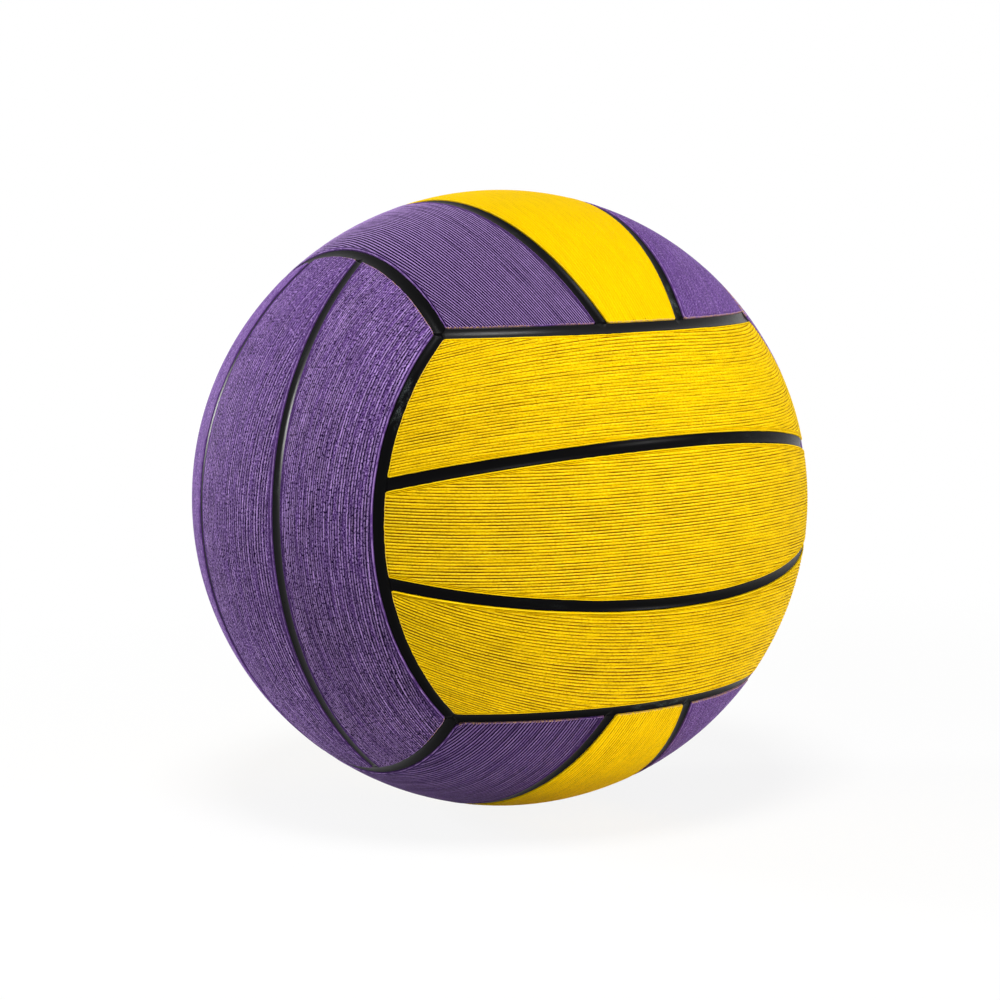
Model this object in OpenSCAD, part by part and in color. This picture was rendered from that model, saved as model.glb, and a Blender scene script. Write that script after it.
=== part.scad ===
// Water polo ball of eighteen rubber panels, over a carcass, a thread winding and a bladder.
// The six faces lie as on a cube, and each holds three long panels. The panels' length runs
// another way on each pair of faces. Black strips fill the channels between the panels.
// The origin is the ball's centre, +Z is up, and the front face looks along -Y.
// A valve sits in the middle of the back face.

/* [Ball] */
// Outer diameter over the panels
ball_d = 188; // [150:1:240]
// Thickness of a panel
panel_t = 1.3; // [1.1:0.05:2.5]
// Angle between the middle of a face and the plane that parts two of its panels
seam_tilt = 13.9; // [10:0.1:18]

/* [Channels] */
// Width of the channel between two panels
channel_w = 3.4; // [2.4:0.1:5]
// Width and depth of the rounded lip along each panel
lip_w = 0.4; // [0.2:0.05:0.6]
// Hollow of the channel's floor, from its sides to its middle
floor_hollow = 0.4; // [0.2:0.05:0.6]
// Clearance beside a strip and between two strips
strip_gap = 0.08; // [0.05:0.01:0.15]

/* [Layers under the panels] */
// Thickness of the rubber carcass
carcass_t = 0.5; // [0.3:0.05:1.5]
// Thickness of the thread winding
winding_t = 0.3; // [0.2:0.05:1]
// Thickness of the bladder's wall
bladder_t = 0.6; // [0.4:0.05:1.5]
// Bond line between two layers
bond_gap = 0.1; // [0.08:0.01:0.15]

/* [Valve boot] */
// Diameter of the neck that shows in the panel
neck_d = 9; // [7.8:0.1:12]
// Depth of the neck's face under the panel's face
neck_recess = 0.4; // [0.2:0.1:0.9]
// Chamfer round the neck's face
neck_chamfer = 0.4; // [0.2:0.05:0.6]
// Clearance round the neck in the layers
neck_gap = 0.15; // [0.1:0.05:0.3]
// Diameter of the flange under the bladder
flange_d = 30; // [22:1:40]
// Thickness of the flange at its root
flange_t = 1.2; // [0.8:0.1:2]
// Thickness of the flange at its rim
flange_rim_t = 0.5; // [0.3:0.1:0.8]
// Diameter of the barrel under the flange
barrel_d = 11; // [10:0.1:14]
// Length of the barrel under the flange
barrel_l = 13; // [12:0.5:20]
// Diameter of the barrel's end
barrel_end_d = 9; // [8:0.1:10]
// Hole through the barrel's end
barrel_hole_d = 3; // [2.6:0.1:4]

/* [Valve core] */
// Diameter of the core's head
core_head_d = 6.2; // [5.6:0.1:6.6]
// Thickness of the core's head
core_head_t = 1.5; // [1:0.1:2.5]
// Depth of the core's face under the neck's face
core_recess = 0.2; // [0.1:0.05:0.5]
// Diameter of the core's stem
core_stem_d = 4.6; // [4:0.1:5]
// Length of the core's stem
core_stem_l = 8; // [7:0.1:9]
// Diameter of the bulb that holds the core in the boot
core_bulb_d = 5.8; // [5.2:0.1:6.2]
// Length of the bulb
core_bulb_l = 3; // [2.5:0.1:4]
// Clearance round the core in the boot
core_gap = 0.1; // [0.05:0.01:0.2]
// Diameter of the needle's entry hole
needle_bore_d = 2.2; // [2.1:0.05:2.4]
// Length of the entry hole, under its mouth
needle_bore_l = 5; // [4:0.1:6]
// Width of the chamfer at the hole's mouth
needle_mouth = 0.5; // [0.3:0.05:0.8]

/* [Hidden] */
FACES = ["front", "back", "left", "right", "top", "bottom"];
SIDES = [-1, 1];

// Names along the way in which a face is divided, from its negative to its positive side
UP_PLACES = ["lower", "middle", "upper"];
DEPTH_PLACES = ["fore", "middle", "rear"];
WIDTH_PLACES = ["left", "middle", "right"];

function is_upright(face) = face == "left" || face == "right";
function is_level(face) = face == "front" || face == "back";
function places(face) =
    is_level(face) ? UP_PLACES : is_upright(face) ? DEPTH_PLACES : WIDTH_PLACES;
function place(face, side) = places(face)[side + 1];
function panel_name(face, side) = str(face, "_", place(face, side), "_panel");
function seam_name(face, side) = str(face, "_", place(face, side), "_seam_strip");
function border_name(face, side) = str(face, "_", place(face, side), "_border_strip");

YELLOW = [0.96, 0.77, 0.06];
PURPLE = [0.40, 0.28, 0.56];
BLACK = [0.08, 0.08, 0.09];
RUBBER = [0.16, 0.15, 0.15];
THREAD = [0.86, 0.84, 0.78];
BUTYL = [0.22, 0.21, 0.22];

function panel_colour(face, side) =
    is_level(face) ? YELLOW : is_upright(face) ? PURPLE : side == 0 ? YELLOW : PURPLE;

$fn = 120;

// How far a cutting solid runs past what it cuts
overrun = 1;

ball_r = ball_d / 2;
panel_under_r = ball_r - panel_t;
carcass_r = panel_under_r - bond_gap;
carcass_under_r = carcass_r - carcass_t;
winding_r = carcass_under_r - bond_gap;
winding_under_r = winding_r - winding_t;
bladder_r = winding_under_r - bond_gap;
bladder_under_r = bladder_r - bladder_t;
flange_r = bladder_under_r - bond_gap;

// A cube's corner seen from its centre gives the latitude of the circles that part the faces
border_tilt = asin(1 / sqrt(3));

// The lip's arc meets the panel's face and the channel's wall at an angle, and grazes neither:
// its centre lies this share of its radius from both
lip_centre_share = 0.85;
lip_r = lip_w / (lip_centre_share - sqrt(1 - pow(lip_centre_share, 2)));

// The strip's upper edge lies where the lip's rounding ends
floor_depth = lip_w + floor_hollow;
strip_w = channel_w - 2 * strip_gap;
floor_r = (pow(strip_w / 2, 2) + pow(floor_hollow, 2)) / (2 * floor_hollow);

// Puts what is drawn on the top face on another face
module on_face(face) {
    if (face == "top") children();
    if (face == "bottom") rotate([180, 0, 0]) children();
    if (face == "right") rotate(120, [1, 1, 1]) children();
    if (face == "left") rotate([0, 180, 0]) rotate(120, [1, 1, 1]) children();
    if (face == "back") rotate(240, [1, 1, 1]) children();
    if (face == "front") rotate([0, 0, 180]) rotate(240, [1, 1, 1]) children();
}

// All that lies beyond a plane with this normal, at this distance from the centre
module beyond(normal, distance = 0) {
    turn = atan2(normal[1], normal[0]);
    lean = acos(normal[2] / norm(normal));
    reach = ball_d + overrun;
    rotate([0, lean, turn])
        translate([-reach, -reach, distance])
            cube([2 * reach, 2 * reach, reach]);
}

module shell(outer_r, inner_r) {
    difference() {
        sphere(outer_r);
        sphere(inner_r);
    }
}

// A channel's section: x is the distance from the ball's centre, y runs across the channel
module channel_section() {
    lip_x = ball_r - lip_centre_share * lip_r;
    lip_y = channel_w / 2 + lip_centre_share * lip_r;
    translate([panel_under_r - overrun, -channel_w / 2])
        square([panel_t + 2 * overrun, channel_w]);
    difference() {
        translate([lip_x, -lip_y]) square([lip_r + overrun, 2 * lip_y]);
        for (side = SIDES)
            translate([lip_x, side * lip_y]) circle(lip_r, $fn = 48);
    }
}

// A strip's section fills the channel from the carcass to its hollow floor
module strip_section() {
    difference() {
        translate([panel_under_r, -strip_w / 2])
            square([panel_t - lip_w, strip_w]);
        floor_section();
    }
}

// The round hollow in a strip's upper side
module floor_section() {
    translate([ball_r - floor_depth + floor_r, 0]) circle(floor_r, $fn = 96);
}

// Carries a section round the Z axis, at a latitude
module around_z(latitude) {
    rotate_extrude() rotate(latitude) children();
}

// Carries a section round a face, in the plane that parts the middle panel from an outer one
module around_seam(side) {
    rotate([0, side * (90 + seam_tilt), 0]) rotate_extrude() children();
}

// Carries a section round a face's side border
module around_side_border(side) {
    rotate([0, side * 90, 0]) around_z(border_tilt) children();
}

// Carries a section round the border that ends the top face's panels
module around_end_border() {
    around_z(border_tilt) children();
}

border_plane = ball_r * sin(border_tilt);
hole_d = neck_d + 2 * neck_gap;
neck_face = ball_r - neck_recess;
core_face = neck_face - core_recess;

function outward_from_seam(side) = [side * cos(seam_tilt), 0, -sin(seam_tilt)];

// The stretch of the ball's shell that a panel of the top face lies in, up to its channels' middles
module panel_room(side) {
    intersection() {
        shell(ball_r, panel_under_r);
        beyond([0, 0, 1], border_plane);
        beyond(side == 0 ? -outward_from_seam(-1) : outward_from_seam(side));
        beyond(side == 0 ? -outward_from_seam(1) : [-side, 0, 0],
            side == 0 ? 0 : -border_plane);
    }
}

// A panel of the top face, cut by one channel after another: side is -1, 0 or 1
module panel(side) {
    difference() {
        difference() {
            difference() {
                panel_room(side);
                around_seam(side == 0 ? 1 : side) channel_section();
            }
            if (side == 0) around_seam(-1) channel_section();
            else around_side_border(side) channel_section();
        }
        around_end_border() channel_section();
    }
}

// A strip between two panels of the top face, butted against the strips at its ends
module seam_strip(side) {
    difference() {
        intersection() {
            around_seam(side) strip_section();
            beyond([0, 0, 1], border_plane);
        }
        around_end_border() channel_section();
    }
}

// A strip along a side of the top face, mitred where three strips meet at the cube's corners.
// The hollows of the next face's two seam strips run out into it.
module border_strip(side) {
    difference() {
        intersection() {
            around_side_border(side) strip_section();
            beyond([side, -2, 1], strip_gap / 2);
            beyond([side, 2, 1], strip_gap / 2);
            beyond([-side, -1, 2], strip_gap / 2);
            beyond([-side, 1, 2], strip_gap / 2);
        }
        intersection() {
            beyond([side, 0, 0], border_plane);
            for (end = SIDES)
                rotate(side * end * seam_tilt) rotate([90, 0, 0])
                    rotate_extrude() floor_section();
        }
    }
}

// A hole for the valve's neck, through a layer of the back face
module neck_hole(outer_r, inner_r) {
    translate([0, 0, inner_r - overrun])
        cylinder(d = hole_d, h = outer_r - inner_r + 2 * overrun);
}

module layer(outer_r, inner_r) {
    difference() {
        shell(outer_r, inner_r);
        neck_hole(outer_r, inner_r);
    }
}

module carcass() {
    color(RUBBER) on_face("back") layer(carcass_r, carcass_under_r);
}

module winding() {
    color(THREAD) on_face("back") layer(winding_r, winding_under_r);
}

module bladder() {
    color(BUTYL) on_face("back") layer(bladder_r, bladder_under_r);
}

flange_under = flange_r - flange_t;
barrel_end = flange_under - barrel_l;

// The flange thins towards its rim, because its under side is a larger sphere from further down
flange_drop = (flange_t - flange_rim_t) / (1 - cos(asin(flange_d / 2 / flange_r)));

head_under = core_face - core_head_t;
bulb_top = head_under - core_stem_l;
bulb_end = bulb_top - core_bulb_l;

// Length of the bulb's tapered ends, as a share of its length
bulb_taper_share = 0.3;

// The boot stands on the Z axis: a flange, a neck through the layers and a barrel inwards
module valve_boot_body() {
    difference() {
        union() {
            intersection() {
                difference() {
                    sphere(flange_r);
                    translate([0, 0, -flange_drop]) sphere(flange_under + flange_drop);
                }
                cylinder(d = flange_d, h = ball_r);
            }
            rotate_extrude()
                polygon([
                    [0, barrel_end],
                    [barrel_end_d / 2, barrel_end],
                    [barrel_d / 2, flange_under],
                    [neck_d / 2, flange_under],
                    [neck_d / 2, neck_face - neck_chamfer],
                    [neck_d / 2 - neck_chamfer, neck_face],
                    [0, neck_face]
                ]);
        }
        valve_core_room();
    }
}

// The room for the core in the boot, open at both ends
module valve_core_room() {
    head_room_r = core_head_d / 2 + core_gap;
    stem_room_r = core_stem_d / 2 + core_gap;
    bulb_room_r = core_bulb_d / 2 + core_gap;
    rotate_extrude()
        polygon([
            [0, barrel_end - overrun],
            [barrel_hole_d / 2, barrel_end - overrun],
            [barrel_hole_d / 2, bulb_end - core_gap],
            [bulb_room_r, bulb_end - core_gap],
            [bulb_room_r, bulb_top + core_gap],
            [stem_room_r, bulb_top + core_gap],
            [stem_room_r, head_under - core_gap],
            [head_room_r, head_under - core_gap],
            [head_room_r, neck_face + overrun],
            [0, neck_face + overrun]
        ]);
}

// The core stands on the Z axis: a head, a stem and a bulb, with the needle's entry hole
module valve_core_body() {
    stem_r = core_stem_d / 2;
    bulb_r = core_bulb_d / 2;
    bore_r = needle_bore_d / 2;
    taper = bulb_taper_share * core_bulb_l;
    rotate_extrude()
        polygon([
            [0, bulb_end],
            [stem_r, bulb_end],
            [bulb_r, bulb_end + taper],
            [bulb_r, bulb_top - taper],
            [stem_r, bulb_top],
            [stem_r, head_under],
            [core_head_d / 2, head_under],
            [core_head_d / 2, core_face],
            [bore_r + needle_mouth, core_face],
            [bore_r, core_face - needle_mouth],
            [bore_r, core_face - needle_mouth - needle_bore_l],
            [0, core_face - needle_mouth - needle_bore_l]
        ]);
}

module valve_boot() {
    color(RUBBER) on_face("back") valve_boot_body();
}

module valve_core() {
    color(BLACK) on_face("back") valve_core_body();
}

module named_panel(face, side) {
    color(panel_colour(face, side)) on_face(face)
        difference() {
            panel(side);
            if (face == "back" && side == 0) neck_hole(ball_r, panel_under_r);
        }
}

for (face = FACES)
    for (side = [-1:1])
        named_panel(face, side);
for (face = FACES)
    for (side = SIDES) {
        color(BLACK) on_face(face) seam_strip(side);
        color(BLACK) on_face(face) border_strip(side);
    }
carcass();
winding();
bladder();
valve_boot();
valve_core();
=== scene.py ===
import math
from collections import namedtuple
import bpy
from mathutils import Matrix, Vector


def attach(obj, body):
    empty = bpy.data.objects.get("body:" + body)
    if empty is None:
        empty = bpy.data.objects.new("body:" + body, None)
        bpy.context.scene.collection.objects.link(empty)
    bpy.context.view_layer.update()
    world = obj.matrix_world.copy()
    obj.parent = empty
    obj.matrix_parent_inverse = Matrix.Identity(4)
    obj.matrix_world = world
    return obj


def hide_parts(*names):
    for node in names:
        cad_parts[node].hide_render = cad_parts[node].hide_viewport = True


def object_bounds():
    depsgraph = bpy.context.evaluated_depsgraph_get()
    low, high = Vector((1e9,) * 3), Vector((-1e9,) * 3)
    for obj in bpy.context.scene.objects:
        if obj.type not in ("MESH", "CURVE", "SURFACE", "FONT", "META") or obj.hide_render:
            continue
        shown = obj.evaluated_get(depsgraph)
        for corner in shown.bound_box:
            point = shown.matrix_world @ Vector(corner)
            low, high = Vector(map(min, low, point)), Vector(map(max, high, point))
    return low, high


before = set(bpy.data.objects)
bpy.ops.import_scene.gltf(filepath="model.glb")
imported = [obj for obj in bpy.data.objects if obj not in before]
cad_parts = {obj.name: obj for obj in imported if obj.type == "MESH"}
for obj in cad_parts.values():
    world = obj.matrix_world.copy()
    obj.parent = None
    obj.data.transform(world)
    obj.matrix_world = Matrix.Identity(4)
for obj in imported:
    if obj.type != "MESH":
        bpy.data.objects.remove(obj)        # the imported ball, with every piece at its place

from types import SimpleNamespace

import bpy
import numpy as np
from bpy.props import FloatProperty, FloatVectorProperty, IntProperty, PointerProperty
from mathutils import Matrix, Vector

bl_info = {
    "name": "Water polo ball",
    "version": (1, 0, 0),
    "blender": (4, 5, 0),
    "location": "3D View > Sidebar > Ball",
    "description": "Ribbed rubber panels, channel strips and valve of a water polo ball, on a plain stage",
    "category": "Add Mesh",
}

MM = 0.001
BODY = "root"
CAD_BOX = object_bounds()

# Each face as the turn that brings the top face there: where its X, its Y and its Z go
FACE_TURNS = {
    "front": ((0, 0, 1), (-1, 0, 0), (0, -1, 0)),
    "back": ((0, 0, 1), (1, 0, 0), (0, 1, 0)),
    "left": ((0, 1, 0), (0, 0, -1), (-1, 0, 0)),
    "right": ((0, 1, 0), (0, 0, 1), (1, 0, 0)),
    "top": ((1, 0, 0), (0, 1, 0), (0, 0, 1)),
    "bottom": ((1, 0, 0), (0, -1, 0), (0, 0, -1)),
}
# Names of a face's panels, from the negative to the positive side of its X
PLACES = {
    "front": ("lower", "middle", "upper"),
    "back": ("lower", "middle", "upper"),
    "left": ("fore", "middle", "rear"),
    "right": ("fore", "middle", "rear"),
    "top": ("left", "middle", "right"),
    "bottom": ("left", "middle", "right"),
}
# Faces and single panels of yellow rubber, the others being purple
YELLOW_PANELS = ("front", "back", "top_middle", "bottom_middle")
# Ribs of a panel: their slope against the panel's own lines in degrees, at its middle, how much it
# grows evenly towards the end, and how much towards both ends; their pitch, as a share of the usual
# one; how deep they are before and after the middle; and how dotted and uneven they are
Ribs = namedtuple("Ribs", "slope arch bend pitch depth_before depth_after uneven")
RIBS = {name: Ribs(*values) for name, values in {
    "front_lower": (-1.5, 3, -21, 1.3, 1.0, 1.5, 0.35),
    "front_middle": (-0.4, -1, 4, 1.02, 0.85, 1.4, 0.3),
    "front_upper": (0, 10, -11, 1.1, 0.75, 1.1, 0.35),
    "left_fore": (-1.5, 13, -2, 0.95, 1.2, 2.1, 1.0),
    "left_middle": (2, -5, 0, 1.4, 0.9, 2.0, 1.0),
    "left_rear": (2, 4, 1, 1.05, 1.0, 1.0, 0.7),
    "top_left": (-8, 5, 19.5, 0.92, 3.9, 2.8, 0.15),
    "top_middle": (7.5, 12, 0.5, 1.0, 0.45, 0.3, 0.1),
    "top_right": (9.5, 3.5, -3.5, 0.95, 1.1, 0.8, 0.5),
    "bottom_left": (-9, 20, -8, 1.15, 1.2, 2.6, 0.3),
    "bottom_middle": (2.5, 4, 0, 1.05, 0.8, 0.9, 0.2),
    "bottom_right": (2, -2, 3, 1.05, 1.0, 1.2, 0.6),
    "right_fore": (-1.5, 5, 1, 1.0, 1.1, 1.1, 0.8),
    "right_middle": (1, -6, 0, 1.1, 1.3, 1.0, 0.7),
    "right_rear": (3, 4, 1, 0.95, 1.1, 1.4, 0.6),
    "back_lower": (-2.5, 6, 1, 1.1, 1.2, 1.0, 0.4),
    "back_middle": (0.5, 2, 0, 1.0, 1.1, 1.1, 0.3),
    "back_upper": (3.5, -5, 1, 1.15, 1.0, 1.3, 0.4),
}.items()}
# Painted shade and painted light on the panels, darkest at the ball's lower left and paler at its bottom
# middle: each panel's tone before and after its middle, darker below 1 and lighter above 1
PAINTED_SHADE_TONES = {
    "front_lower": (1.05, 1.05),
    "front_middle": (1.05, 1.05),
    "front_upper": (1.03, 1.03),
    "left_fore": (1.0, 0.66),
    "left_middle": (0.95, 0.76),
    "left_rear": (1.15, 1.1),
    "bottom_left": (0.56, 0.62),
    "bottom_middle": (1.15, 1.12),
    "top_middle": (0.93, 0.93),
    "top_left": (0.86, 0.84),
}
# Strips that hands have polished
POLISHED_STRIPS = ("left_fore_seam_strip", "left_rear_seam_strip", "front_upper_border_strip")
# Larger corner radii in millimetres: at the seam's side and the border's, before and after the middle
SOFT_CORNERS = {
    "front_upper": ((0.7, 0.7), (1.2, 0.8)),
    "bottom_left": ((0.7, 0.7), (0.9, 2.6)),
    "top_right": ((1.5, 0.7), (0.7, 0.7)),
    "top_middle": ((1.1, 0.7), (0.5, 0.7)),
    "left_fore": ((0.7, 0.7), (0.8, 1.0)),
}
# Sizes of the valve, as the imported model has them
VALVE = SimpleNamespace(
    neck_d=9 * MM,
    neck_gap=0.15 * MM,
    neck_recess=0.4 * MM,
    neck_chamfer=0.4 * MM,
    flange_d=30 * MM,
    flange_t=1.2 * MM,
    flange_rim_t=0.5 * MM,
    flange_depth=3.1 * MM,
    barrel_d=11 * MM,
    barrel_l=13 * MM,
    barrel_end_d=9 * MM,
    barrel_hole_d=3 * MM,
    core_head_d=6.2 * MM,
    core_head_t=1.5 * MM,
    core_recess=0.2 * MM,
    core_stem_d=4.6 * MM,
    core_stem_l=8 * MM,
    core_bulb_d=5.8 * MM,
    core_bulb_l=3 * MM,
    core_gap=0.1 * MM,
    needle_bore_d=2.2 * MM,
    needle_bore_l=5 * MM,
    needle_mouth=0.5 * MM,
)
# Each lamp's size in metres, and its azimuth and elevation in degrees
LAMPS = {"top": (0.4, -34, 65), "rim": (0.3, -145, 15), "low": (0.25, 22, 2)}
LAMP_DISTANCE = 1.3
FLOOR_RADIUS = 6.0
WHITE = (1, 1, 1, 1)


def linear(red, green, blue):
    """A colour given in display values from 0 to 255, as the linear values that shaders use."""
    shown = np.array([red, green, blue]) / 255
    low = shown / 12.92
    high = ((shown + 0.055) / 1.055) ** 2.4
    return tuple(float(x) for x in np.where(shown <= 0.04045, low, high))


def scaled(shade, times):
    """A colour with all its parts multiplied."""
    return [times * part for part in shade]


def length(name, description, millimetres):
    """A length, given in millimetres and held in metres."""
    return FloatProperty(
        name=name, description=description, default=millimetres * MM, unit="LENGTH", precision=5
    )


def colour(name, description, red, green, blue):
    """A colour, given in display values from 0 to 255."""
    default = linear(red, green, blue)
    return FloatVectorProperty(
        name=name, description=description, subtype="COLOR", min=0, max=1, default=default
    )


def angle(name, description, degrees):
    """An angle, given in degrees and held in radians."""
    return FloatProperty(
        name=name, description=description, default=math.radians(degrees), subtype="ANGLE"
    )


def number(name, description, default):
    """A plain number."""
    return FloatProperty(name=name, description=description, default=default)


class BallSizes(bpy.types.PropertyGroup):
    """Sizes of the ball's panels, strips and ribs"""

    diameter: length("Diameter", "Over the panels", (CAD_BOX[1][2] - CAD_BOX[0][2]) / MM)
    panel_thickness: length("Panel thickness", "Of the rubber panels", 1.3)
    seam_tilt: angle("Seam tilt", "From a face's middle to the plane between its panels", 13.9)
    channel_width: length("Channel width", "Between two panels", 3.4)
    lip: length("Lip", "Radius of a panel's rounded edge", 0.4)
    floor_hollow: length("Floor hollow", "From a strip's sides to its middle", 0.4)
    strip_clearance: length("Strip clearance", "Beside a strip and between two strips", 0.08)
    corner_radius: length("Corner radius", "Of most corners of the panels", 0.7)
    rib_pitch: length("Rib pitch", "From one groove to the next", 0.85)
    rib_depth: length("Rib depth", "Of a deep groove", 0.2)
    edge_line_pitch: length("Edge line pitch", "Of the lines along a panel's long edges", 0.45)
    edge_wave: length("Edge wave", "How far a panel's trimmed edge wanders", 0.28)
    end_margin: length("End margin", "Plain band at the ends of the ribs", 1.8)
    columns: IntProperty(
        name="Columns", description="Steps along a panel between its end bands", default=124
    )


class BallColours(bpy.types.PropertyGroup):
    """Colours of the ball's rubber"""

    yellow: colour("Yellow", "Yellow panels", 251, 205, 0)
    # Painted shade in the yellow grooves, also the colour of dark dots and lines and of the tones' painted
    # shade
    yellow_groove: colour("Yellow groove", "Bottom of the grooves in yellow", 122, 63, 0)
    # Painted highlight beside the yellow grooves and on the edges, also the colour of pale specks
    yellow_ridge: colour("Yellow ridge", "Pale lines and edges in yellow", 255, 232, 56)
    purple: colour("Purple", "Purple panels", 101, 67, 136)
    # Painted shade in the purple grooves, also the colour of dark dots and lines and of the tones' painted
    # shade
    purple_groove: colour("Purple groove", "Bottom of the grooves in purple", 18, 1, 42)
    # Painted highlight beside the purple grooves and on the edges, also the colour of pale specks
    purple_ridge: colour("Purple ridge", "Pale lines and edges in purple", 192, 157, 224)
    black: colour("Black", "Strips in the channels", 5, 5, 6)
    # Dust, and a painted highlight along the strips' floors
    dust: colour("Dust", "Fine bloom on the strips", 84, 92, 92)
    tan: colour("Tan", "Layer that shows at the panels' torn ends", 200, 156, 110)
    valve: colour("Valve", "Rubber of the valve", 30, 30, 32)
    carcass: colour("Carcass", "Rubber under the panels", 50, 47, 45)
    bladder: colour("Bladder", "Butyl rubber", 62, 62, 64)
    cement: colour("Cement", "Between the winding's threads", 150, 140, 118)
    thread: colour("Thread", "Nylon of the winding", 226, 220, 204)


class StageSettings(bpy.types.PropertyGroup):
    """Camera, light and floor"""

    lens: FloatProperty(name="Lens", description="Focal length on a 36 mm sensor", default=95.4)
    distance: length("Camera distance", "From the ball's centre", 814)
    azimuth: angle("Azimuth", "Of the camera round the ball, from the front", -33.7)
    elevation: angle("Elevation", "Of the camera over the ball's centre", 6.09)
    roll: angle("Roll", "Of the camera", -1.58)
    shift_x: number("Shift X", "Of the lens", 0.00023)
    shift_y: number("Shift Y", "Of the lens", -0.00231)
    sky: number("Sky", "Strength of the soft light from all round", 0.1)
    top: number("Top lamp", "Power of the large lamp high above the camera, in watts", 15.0)
    rim: number("Rim lamp", "Power of the lamp behind the left side, in watts", 11.0)
    low: number("Low lamp", "Power of the lamp low at the right, in watts", 7.6)
    floor: colour("Floor", "Pale floor", 247, 247, 246)


def sizes():
    return bpy.context.scene.ball_sizes


def colours():
    return bpy.context.scene.ball_colours


def stage_settings():
    return bpy.context.scene.ball_stage


# Shader maths


class Wire:
    """A value that varies over a surface. Sums, products and powers of it add Math nodes."""

    def __init__(self, finish, socket):
        self.finish = finish
        self.socket = socket

    def maths(self, operation, *values):
        return self.finish.node("Math", {"operation": operation}, dict(enumerate(values)))

    def __add__(self, other):
        return self.maths("ADD", self, other)

    def __sub__(self, other):
        return self.maths("SUBTRACT", self, other)

    def __rsub__(self, other):
        return self.maths("SUBTRACT", other, self)

    def __mul__(self, other):
        return self.maths("MULTIPLY", self, other)

    def __pow__(self, other):
        return self.maths("POWER", self, other)

    __radd__ = __add__
    __rmul__ = __mul__

    def between(self, low, high):
        """0 up to low, 1 from high on, and a smooth rise between them."""
        return self.finish.node(
            "MapRange",
            {"interpolation_type": "SMOOTHSTEP"},
            {"Value": self, "From Min": low, "From Max": high},
        )

    def greatest(self, other):
        return self.maths("MAXIMUM", self, other)

    def least(self, other):
        return self.maths("MINIMUM", self, other)


class Finish:
    """The nodes of a new material, or of a world."""

    def __init__(self, name, world=False):
        self.owner = (bpy.data.worlds if world else bpy.data.materials).new(name)
        self.owner.use_nodes = True
        self.tree = self.owner.node_tree
        self.tree.nodes.clear()

    def node(self, kind, settings=None, inputs=None, output=0):
        """Adds a node, sets its settings and then its sockets, and gives one of its outputs."""
        node = self.tree.nodes.new("ShaderNode" + kind)
        for name, value in (settings or {}).items():
            setattr(node, name, value)
        for name, value in (inputs or {}).items():
            if isinstance(value, Wire):
                self.tree.links.new(value.socket, node.inputs[name])
            else:
                node.inputs[name].default_value = value
        return Wire(self, node.outputs[output]) if node.outputs else None

    def attribute(self, name):
        """A number that the mesh holds at each of its points."""
        return self.node("Attribute", {"attribute_name": name}, output="Fac")

    def mixed(self, share, one, other, blend="MIX"):
        """One colour going over into another."""
        one, other = [x if isinstance(x, Wire) else (*x, 1) for x in (one, other)]
        settings = {"data_type": "RGBA", "blend_type": blend}
        return self.node("Mix", settings, {0: share, 6: one, 7: other}, output=2)

    def noise(self, place, scale, detail=2, roughness=0.5, stretch=None):
        """Noise with this many features to a metre, or to each unit of a stretched map."""
        if stretch:
            place = self.node("Mapping", {}, {"Vector": place, "Scale": stretch})
        inputs = {"Vector": place, "Scale": scale, "Detail": detail, "Roughness": roughness}
        return self.node("TexNoise", {}, inputs)

    def finish(self, colour_wire, roughness, height, depth, **sockets):
        """Closes the material: depth is how far the height's full range stands out, in metres."""
        normal = self.node("Bump", {}, {"Strength": 1.0, "Distance": depth, "Height": height})
        inputs = {"Base Color": colour_wire, "Roughness": roughness, "Normal": normal}
        inputs.update(sockets)
        surface = self.node("BsdfPrincipled", {}, inputs)
        self.node("OutputMaterial", {}, {"Surface": surface})
        return self.owner


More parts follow.
